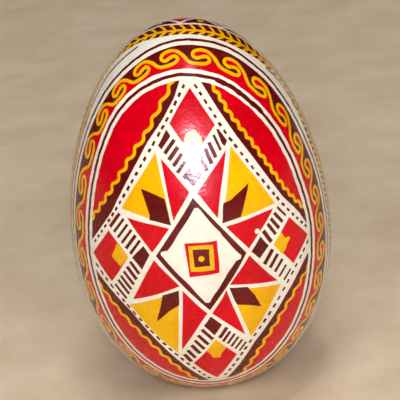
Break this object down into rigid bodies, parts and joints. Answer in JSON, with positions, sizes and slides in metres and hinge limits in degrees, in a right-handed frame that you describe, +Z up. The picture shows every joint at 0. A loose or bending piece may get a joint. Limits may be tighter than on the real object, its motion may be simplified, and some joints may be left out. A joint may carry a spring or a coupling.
{
  "type": "pysanka decorated egg",
  "caption": "Blown goose egg with a wax-resist folk pattern of nested rhombi, an eight-pointed star, ladder bands, running scrolls and wheat ears under gloss varnish.",
  "frame": {"origin": "the blunt pole of the egg, where its stand or ring meets it", "axes": "+Z up the egg's long axis to the narrow tip, -Y out of the middle of the front panel, +X to the right of someone facing that panel"},
  "size_m": [0.0586, 0.0586, 0.086],
  "materials": {
    "varnish": "gloss",
    "shell": "matte",
    "membrane": "matte",
    "undyed_white": "gloss",
    "yellow_dye": "gloss",
    "red_dye": "gloss",
    "brown_dye": "gloss"
  },
  "bodies": {
    "root": {"varnish_coat": "varnish", "eggshell": "shell", "outer_membrane": "membrane", "inner_membrane": "membrane"}
  },
  "joints": []
}
